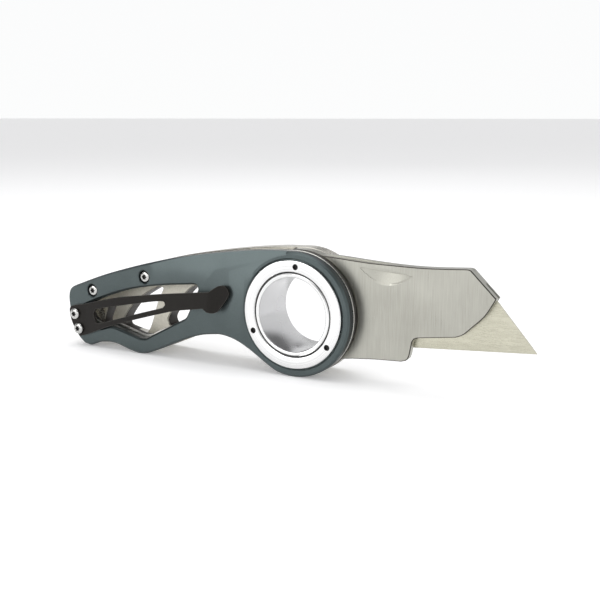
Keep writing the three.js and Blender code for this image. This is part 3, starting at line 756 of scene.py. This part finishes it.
tool_marks.inputs["Scale"].default_value = 5200.0
tool_marks.inputs["Detail"].default_value = 3.0
links.new(depth.outputs["Value"], tool_marks.inputs["W"])
smear = nodes.new("ShaderNodeTexNoise")
smear.inputs["Scale"].default_value = 75.0
links.new(centred.outputs["Vector"], smear.inputs["Vector"])
tone = nodes.new("ShaderNodeValToRGB")
tone.color_ramp.elements[0].position = 0.3
tone.color_ramp.elements[0].color = (0.66, 0.66, 0.655, 1)
tone.color_ramp.elements[1].position = 0.7
tone.color_ramp.elements[1].color = (0.93, 0.93, 0.925, 1)
links.new(tool_marks.outputs["Fac"], tone.inputs["Fac"])
# The bore's wall takes a flat, darker grey: painted shade inside the ring.
in_the_bore = nodes.new("ShaderNodeMath")
in_the_bore.operation = "LESS_THAN"
in_the_bore.inputs[1].default_value = 0.01147
links.new(radius.outputs["Value"], in_the_bore.inputs[0])
bore_painted_shade = nodes.new("ShaderNodeMix")
bore_painted_shade.data_type = "RGBA"
bore_painted_shade.inputs["B"].default_value = (0.56, 0.56, 0.565, 1)
links.new(in_the_bore.outputs["Value"], bore_painted_shade.inputs["Factor"])
links.new(tone.outputs["Color"], bore_painted_shade.inputs["A"])
links.new(bore_painted_shade.outputs["Result"], shader.inputs["Base Color"])
gloss = nodes.new("ShaderNodeMapRange")
gloss.inputs["From Min"].default_value = 0.3
gloss.inputs["From Max"].default_value = 0.7
gloss.inputs["To Min"].default_value = 0.12
gloss.inputs["To Max"].default_value = 0.3
links.new(smear.outputs["Fac"], gloss.inputs["Value"])
links.new(gloss.outputs["Result"], shader.inputs["Roughness"])
relief = nodes.new("ShaderNodeBump")
relief.inputs["Strength"].default_value = 0.18
relief.inputs["Distance"].default_value = 0.00002
links.new(tool_marks.outputs["Fac"], relief.inputs["Height"])
links.new(relief.outputs["Normal"], shader.inputs["Normal"])
piece(
    "finger_ring", ring_shape, "handle", polished, ["pivot_ring"], smooth_below=28,
    others=[hollows_painted_shade],
)
piece(
    "finger_ring_nut", nut_shape, "handle", polished, ["ring_nut"], smooth_below=28,
    others=[hollows_painted_shade],
)

# ---------------------------------------------------------------- blade carrier
# Two steel plates, brushed across, that turn on the sleeve and clasp the blade between them. The
# rear one is milled for the blade, the front one has a crescent nail nick, and both end in a tang.
carrier_front, plate_seam = layer("carrier_front_plate")
carrier_back = layer("carrier_rear_plate")[1]
front_spine = through([(7.0, 17.88), (12.5, 17.5), (22.5, 16.8), (32.5, 16.6), (41, 16.6), (52.0, 17.2)], 5)
rear_spine = through([(7.0, 17.88), (12.5, 17.8), (22.5, 17.1), (32.5, 16.6), (41, 16.6), (52.0, 17.2)], 5)
nose = through([(52.6, 17.2), (53.3, 17.0), (54.0, 16.4)], 4) + [(60.9, 9.6)]
cheek = through([(60.9, 9.6), (58.0, 4.7), (54.3, 0.9), (51.8, -1.4), (49.6, -2.4)], 5)
front_tab = [
    (38.2, -3.9), (37.2, -4.3), (36.6, -5.2), (35.8, -9.4), (35.4, -10.4), (34.6, -11.1), (33.2, -11.5),
]
rear_heel = [(38.2, -4.4), (35.2, -5.6), (33.8, -7.2), (33.2, -9.6), (32.0, -10.9), (30.2, -11.4)]
foot = [(25, -11.9), (17.4, -12.6)]
tang = [*arc(head_radius, -43, -74.5), *arc(15.8, -74.5, -262), *arc(head_radius, 98, 68.6)]

blade_tilt = math.radians(3.87)
blade_tip = (72.2, -5.0)
blade_length, blade_height, blade_thickness = 60.9, 19.0, 0.6
blade_rake = blade_height / math.tan(math.radians(53.2))
blade_middle = plate_seam + 0.4
blade_outline = [
    (0, 0), (-blade_rake, blade_height), (blade_rake - blade_length, blade_height), (-blade_length, 0),
]
blade_in_place = (
    Matrix.Translation((blade_tip[0], blade_middle, blade_tip[1]))
    @ Matrix.Rotation(-blade_tilt, 4, "Y")
)

# The blade's pocket runs out through the nose and leaves at least a quarter of a millimetre of room.
pocket = plate(
    [[(20, -0.25), (20, blade_height + 0.25), (blade_rake - blade_length - 0.25, blade_height + 0.25),
      (-blade_length - 0.5, -0.25)]],
    -1.4,
    0.4,
)
bmesh.ops.transform(pocket, matrix=blade_in_place, verts=pocket.verts)

nick_width, nick_height, nick_depth = 17.0, 4.0, 1.2
nick_radius = (nick_width**2 / 4 + nick_depth**2) / (2 * nick_depth)
nick = bmesh.new()
bmesh.ops.create_cone(
    nick,
    cap_ends=True,
    segments=360,
    radius1=nick_radius - nick_depth,
    radius2=nick_radius,
    depth=nick_height,
)
bmesh.ops.translate(nick, vec=(0, nick_depth - nick_radius, -nick_height / 2), verts=nick.verts)
bmesh.ops.rotate(nick, cent=(0, 0, 0), matrix=Matrix.Rotation(math.radians(4.5), 3, "Y"), verts=nick.verts)
bmesh.ops.translate(nick, vec=(28.0, carrier_front, 14.6), verts=nick.verts)



def in_the_nick(centre):
    """Whether a face of the front plate lies in the box that the nick takes up."""
    return 19 < centre.x < 37 and 11 < centre.z < 16


rivet_places = [(19.6, 12.2), (23.6, -10.1), (46.0, 14.7)]
front_plate = plate(
    [joined(front_spine, nose, cheek, front_tab, foot, tang), hole(sleeve_hole, step=4)],
    carrier_front,
    plate_seam,
)
break_rim(front_plate, carrier_front, 0.25)
# The front chamfer takes a near-black copy of the steel: a painted dark reflection, drawn as a thin dark
# line round the rim.
mark(front_plate, lambda centre, normal: -0.95 < normal.y < -0.3)
nick_rim = plate(
    [through([(19.8, 15.1), (23.4, 12.4), (28.2, 11.3), (32.8, 11.7), (36.3, 13.8)])], 0, carrier_front + 0.2
)
nick_brow = plate(
    [through([(19.8, 15.2), (24, 15.6), (28.2, 15.4), (32.6, 14.8), (36.3, 13.8)])], 0, carrier_front + 0.4
)
front_plate = carve(
    front_plate,
    nick,
    nick_rim,
    nick_brow,
    *(turned([(0, 6.9), (1.2, 6.9), (1.2, 9), (0, 9)], place, 24) for place in rivet_places),
)
# The nick's side walls take the same near-black steel: painted shade.
mark(
    front_plate,
    lambda centre, normal: abs(normal.y) < 0.3
    and centre.y < carrier_front + 0.6
    and in_the_nick(centre),
)
# The nick's floor takes a slightly darker, rougher copy of the carrier steel: painted shade that tones down
# its highlight.
mark(
    front_plate,
    lambda centre, normal: normal.y < -0.5
    and carrier_front + 0.02 < centre.y < carrier_front + 1.4
    and in_the_nick(centre),
    index=2,
)
carrier_steel = metal(
    "brushed_carrier_steel",
    base=(0.445, 0.44, 0.395),
    shade=(0.31, 0.305, 0.27),
    roughness=0.34,
    spread=0.07,
    grain=(5600, 5600, 120),
    bump=0.16,
    patches=60.0,
)
carrier_edge_painted_shade = metal(
    "carrier_edge_painted_reflection_and_shade",
    base=(0.075, 0.070, 0.062),
    shade=(0.040, 0.037, 0.033),
    roughness=0.4,
    spread=0.06,
    grain=(1800, 1800, 1800),
    bump=0.1,
)
nick_bottom_painted_shade = metal(
    "nick_bottom_steel_painted_shade",
    base=(0.42, 0.415, 0.372),
    shade=(0.30, 0.295, 0.26),
    roughness=0.41,
    spread=0.06,
    grain=(5600, 5600, 120),
    bump=0.12,
)
piece(
    "carrier_front", front_plate, "carrier", carrier_steel, ["carrier_front_plate"],
    smooth_below=8, others=[carrier_edge_painted_shade, nick_bottom_painted_shade],
)

catch_front, catch_back = layer("blade_catch")
notch_middles = [(-blade_length - 14) / 2, (-blade_length + 14) / 2]
tooth = blade_in_place @ Vector((notch_middles[0], 0, blade_height - 1.1))
catch_outline = [
    (47.6, 13.5), (47.6, 15.9), (tooth.x - 2, 15.4), (tooth.x - 2, 3.4), (tooth.x + 2, 3.4),
    (tooth.x + 2, 13.1),
]
catch_pocket = [
    (47.85, 13.25), (47.85, 16.15), (tooth.x - 2.25, 15.65), (tooth.x - 2.25, 3.15), (tooth.x + 2.25, 3.15),
    (tooth.x + 2.25, 12.85),
]


def tooth_block(room):
    """Outline of the catch's tooth, with some room all round."""
    half_x, half_z = 1.1 + room, 0.7 + room
    return [
        (tooth.x - half_x, tooth.z - half_z), (tooth.x + half_x, tooth.z - half_z),
        (tooth.x + half_x, tooth.z + half_z), (tooth.x - half_x, tooth.z + half_z),
    ]


rear_plate = plate(
    [joined(rear_spine, nose, cheek, rear_heel, foot, tang), hole(sleeve_hole, step=4)],
    plate_seam,
    carrier_back,
)
break_rim(rear_plate, carrier_back, 0.3)
rear_plate = carve(
    rear_plate,
    pocket,
    plate([catch_pocket], catch_back - 0.65, 20),
    plate([tooth_block(0.3)], plate_seam - 1, 20),
    *(
        turned(
            [(0, 5), (1.2, 5), (1.2, carrier_back - 0.8), (1.8, carrier_back - 0.8), (1.8, 30), (0, 30)],
            place,
            24,
        )
        for place in rivet_places
    ),
)
piece(
    "carrier_rear", rear_plate, "carrier", carrier_steel, ["carrier_rear_plate"], soften=0.05
)

# Rivets that join the two plates, closed flush in the rear one. The third also holds the catch.
for number, place in enumerate(rivet_places, 1):
    low, high = layer(f"carrier_rivet_{number}")
    head = 0.3 if number == 3 else 0.5
    rivet = turned(
        [(0, low), (1.0, low), (1.0, high - head), (1.5, high - head), (1.5, high - 0.12), (1.38, high),
         (0, high)],
        place,
        32,
    )
    piece(f"rivet_{number}", rivet, "carrier", bright_steel, [f"carrier_rivet_{number}"])

# ---------------------------------------------------------------- utility blade
# The interchangeable trapezoid blade: hardened strip, ground on both sides of its long edge,
# with two notches in its back for the catch.
half = blade_thickness / 2
blade_shape = bmesh.new()
for corner in (
    (0, 0), (half * 0.32, 0.42), (half, 2.2), (half, blade_height), (-half, blade_height), (-half, 2.2),
    (-half * 0.32, 0.42),
):
    blade_shape.verts.new((0, *corner))
blade_end = blade_shape.faces.new(blade_shape.verts)
swept(blade_shape, blade_end, (-blade_length, 0, 0))
blade_shape = carve(blade_shape, plate([blade_outline], -1, 1), operation="INTERSECT")
notches = [
    plate(
        [[(m - 1.6, blade_height - 2.2), (m + 1.6, blade_height - 2.2), (m + 1.6, blade_height + 1),
          (m - 1.6, blade_height + 1)]],
        -1,
        1,
    )
    for m in notch_middles
]
blade_shape = carve(blade_shape, *notches)
bmesh.ops.transform(blade_shape, matrix=blade_in_place, verts=blade_shape.verts)
blade_steel = metal(
    "ground_blade_steel",
    base=(0.58, 0.565, 0.46),
    shade=(0.42, 0.405, 0.325),
    roughness=0.28,
    spread=0.05,
    grain=(420, 2600, 2600),
    bump=0.08,
    patches=60.0,
)
piece("trapezoid_blade", blade_shape, "blade", blade_steel, ["utility_blade"], smooth_below=4)

# ---------------------------------------------------------------- blade catch
# Blackened spring leaf let into the back of the carrier, with a finger pad below and a tooth
# that drops into a notch of the blade.
catch_shape = plate([catch_outline, hole(1.2, rivet_places[2])], catch_back - 0.5, catch_back)
catch_tooth = plate([tooth_block(0)], catch_front, catch_back - 0.2)
catch_shape = carve(catch_shape, catch_tooth, operation="UNION")
for i in range(5):
    z = 4.0 + i * 0.75
    groove_outline = [(tooth.x - 3, z), (tooth.x + 3, z), (tooth.x + 3, z + 0.3), (tooth.x - 3, z + 0.3)]
    groove = plate([groove_outline], catch_back - 0.2, 20)
    catch_shape = carve(catch_shape, groove)
black_steel = metal(
    "black_oxide_steel",
    base=(0.016, 0.014, 0.012),
    shade=(0.007, 0.006, 0.005),
    roughness=0.36,
    spread=0.1,
    grain=(4200, 4200, 4200),
    bump=0.25,
    metallic=0.35,
)
black_nodes, black_links = black_steel.node_tree.nodes, black_steel.node_tree.links
black_shader = black_nodes["Principled BSDF"]
black_shader.inputs["Specular IOR Level"].default_value = 0.22
# The edges, found by the Bevel node, are painted lighter: a painted highlight along every edge, partly real
# worn edges.
eased = black_nodes.new("ShaderNodeBevel")
eased.samples = 6
eased.inputs["Radius"].default_value = 0.00022
true_face = black_nodes.new("ShaderNodeNewGeometry")
agreement = black_nodes.new("ShaderNodeVectorMath")
agreement.operation = "DOT_PRODUCT"
black_links.new(eased.outputs["Normal"], agreement.inputs[0])
black_links.new(true_face.outputs["Normal"], agreement.inputs[1])
edge_highlight_fac = black_nodes.new("ShaderNodeMapRange")
edge_highlight_fac.inputs["From Min"].default_value = 0.99
edge_highlight_fac.inputs["From Max"].default_value = 0.86
black_links.new(agreement.outputs["Value"], edge_highlight_fac.inputs["Value"])
edge_wear_and_highlight = black_nodes.new("ShaderNodeMix")
edge_wear_and_highlight.data_type = "RGBA"
edge_wear_and_highlight.inputs["B"].default_value = (0.10, 0.095, 0.085, 1)
black_links.new(edge_highlight_fac.outputs["Result"], edge_wear_and_highlight.inputs["Factor"])
black_links.new(black_shader.inputs["Base Color"].links[0].from_socket, edge_wear_and_highlight.inputs["A"])
black_links.new(edge_wear_and_highlight.outputs["Result"], black_shader.inputs["Base Color"])
piece("catch_leaf", catch_shape, "catch", black_steel, ["blade_catch"])

# ---------------------------------------------------------------- lock leaf
# Steel spring along the foot of the frame. It springs in behind the tang to hold the blade open,
# and its small ball holds the carrier shut.
lock_stock = plate([lock_band], 0, 1.6)
lock_outer = plate([handle_outline], 0, 1.6)
inner = Matrix.Diagonal((1 - 1.2 / 108, 1, 1 - 1.2 / 38.4, 1))
bmesh.ops.transform(lock_outer, matrix=inner, space=Matrix.Translation((35, 0, 0)), verts=lock_outer.verts)
lock_shape = carve(lock_stock, lock_outer, operation="INTERSECT")
ball_place = arc(17.4, -98, -97)[0]
lock_shape = carve(
    lock_shape,
    turned([(0, -2), (16.1, -2), (16.1, 4), (0, 4)]),
    turned([(0, -2), (0.9, -2), (0.9, 4), (0, 4)], ball_place, 24),
    *(turned([(0, -2), (1.2, -2), (1.2, 4), (0, 4)], place, 24) for place in lock_screws),
)
lock_swing = (
    Matrix.Translation((-46.5, frame_front, 0))
    @ Matrix.Rotation(-math.radians(3), 4, "Z")
    @ Matrix.Translation((46.5, 0, 0))
)
bmesh.ops.transform(lock_shape, matrix=lock_swing, verts=lock_shape.verts)
piece("lock_spring", lock_shape, "lock", satin_steel, ["lock_leaf"], soften=0.08)
ball_shape = bmesh.new()
bmesh.ops.create_uvsphere(ball_shape, u_segments=24, v_segments=16, radius=0.75)
bmesh.ops.translate(ball_shape, vec=(ball_place[0], 0.55, ball_place[1]), verts=ball_shape.verts)
bmesh.ops.transform(ball_shape, matrix=lock_swing, verts=ball_shape.verts)
piece("detent_ball_steel", ball_shape, "lock", bright_steel, ["detent_ball"])

# ---------------------------------------------------------------- pocket clip
# Black spring strip, slotted along its middle, screwed to the butt. It rises off the scale along
# its length and dips back to it in a wider rounded paddle.
clip_outline = joined(
    through([(-87.6, -8.4), (-86.8, -5.6), (-79.8, -4.0), (-66.8, -0.7), (-54.7, 1.3), (-45.5, 2.7),
             (-27.8, 5.0)], 6),
    through([(-27.0, 5.6), (-24.9, 7.0), (-22.9, 7.0), (-21.8, 5.4), (-22.0, 3.6), (-24.8, -0.6),
             (-26.6, -1.7), (-28.8, -1.5)], 5),
    through([(-30.2, -0.5), (-35.6, -1.4), (-43.7, -3.0), (-60.6, -7.9), (-70.5, -11.0), (-79.0, -14.4),
             (-83.2, -15.8)], 6),
    through([(-83.2, -15.8), (-84.7, -14.6), (-86.7, -11.2), (-87.6, -8.4)], 5),
)
clip_slot = joined(
    through([(-76.8, -7.4), (-76.0, -5.9), (-73.6, -5.0), (-58.6, -1.9), (-47.2, 0.2), (-45.2, -0.6),
             (-46.2, -1.9)], 5),
    through([(-56.2, -4.8), (-73.8, -10.1), (-76.1, -9.3), (-76.8, -7.4)], 5),
)
clip_back = layer("pocket_clip")[1]
clip_thickness = 0.8
clip_rise = [(-90.0, 0.0), (-80, 0.0), (-70, 0.7), (-33.5, 2.3), (-28.6, 2.4), (-27.2, 2.1), (-21.5, 0.2)]
clip_side = bmesh.new()
side_line = [(x, clip_back - rise) for x, rise in clip_rise]
for x, y in [*side_line, *((x, y - clip_thickness) for x, y in reversed(side_line))]:
    clip_side.verts.new((x, y, -30))
clip_end = clip_side.faces.new(clip_side.verts)
swept(clip_side, clip_end, (0, 0, 50))
clip_shape = carve(clip_side, plate([clip_outline], -10, 10), operation="INTERSECT")
clip_shape = carve(
    clip_shape,
    plate([clip_slot], -10, 10),
    *(turned([(0, -9), (1.2, -9), (1.2, 9), (0, 9)], place, 24) for place in clip_screws.values()),
)
piece(
    "clip_strip", clip_shape, "clip", black_steel, ["pocket_clip"],
    soften=0.16, smooth_below=30,
)

# ---------------------------------------------------------------- screws
# Small button-head screws with a six-lobe socket: two sunk in the scale, two on the clip, five
# from behind in the frame.
lobes = 6


def screw_shape(place, head_top, seat, tip, from_behind):
    """A screw along y whose head lies between head_top and seat."""
    out = 1 if from_behind else -1
    height = abs(head_top - seat)
    crown = [(0, head_top), (1.15, head_top), (1.5, head_top - out * 0.08), (1.74, head_top - out * 0.24),
             (1.88, head_top - out * min(0.55, height * 0.6))]
    shape = turned([*crown, (1.88, seat), (1.0, seat), (1.0, tip), (0, tip)], place, 40)
    star = []
    for i in range(lobes * 8):
        angle = 2 * math.pi * i / (lobes * 8)
        reach = 0.83 + 0.15 * math.cos(lobes * angle)
        star.append((place[0] + reach * math.cos(angle), place[1] + reach * math.sin(angle)))
    bottom = head_top - out * 0.6
    socket = plate([star], min(head_top + out, bottom), max(head_top + out, bottom))
    shape = carve(shape, socket)
    # The socket's walls and floor take the same near-black material: painted shade in the socket.
    return mark(
        shape,
        lambda centre, normal: math.dist((centre.x, centre.z), place) < 0.99
        and 0.01 < (head_top - centre.y) * out < 0.61,
    )


all_screws = {
    "scale_screw_tail": case_screws["tail"],
    "scale_screw_middle": case_screws["middle"],
    "clip_screw_upper": clip_screws["upper"],
    "clip_screw_lower": clip_screws["lower"],
    "frame_screw_tail": case_screws["tail"],
    "frame_screw_middle": case_screws["middle"],
    "frame_screw_butt": butt_screw,
    "lock_screw_1": lock_screws[0],
    "lock_screw_2": lock_screws[1],
}
head_heights = {"scale": 1.6, "clip": 0.8, "frame": 1.4, "lock": 1.4}
for node, place in all_screws.items():
    low, high = layer(node)
    from_behind = node.startswith(("frame", "lock"))
    height = head_heights[node.split("_")[0]]
    if from_behind:
        shape = screw_shape(place, high, high - height, low, True)
    else:
        shape = screw_shape(place, low, low + height, high, False)
    piece(f"{node}_steel", shape, "handle", bright_steel, [node], others=[hollows_painted_shade])
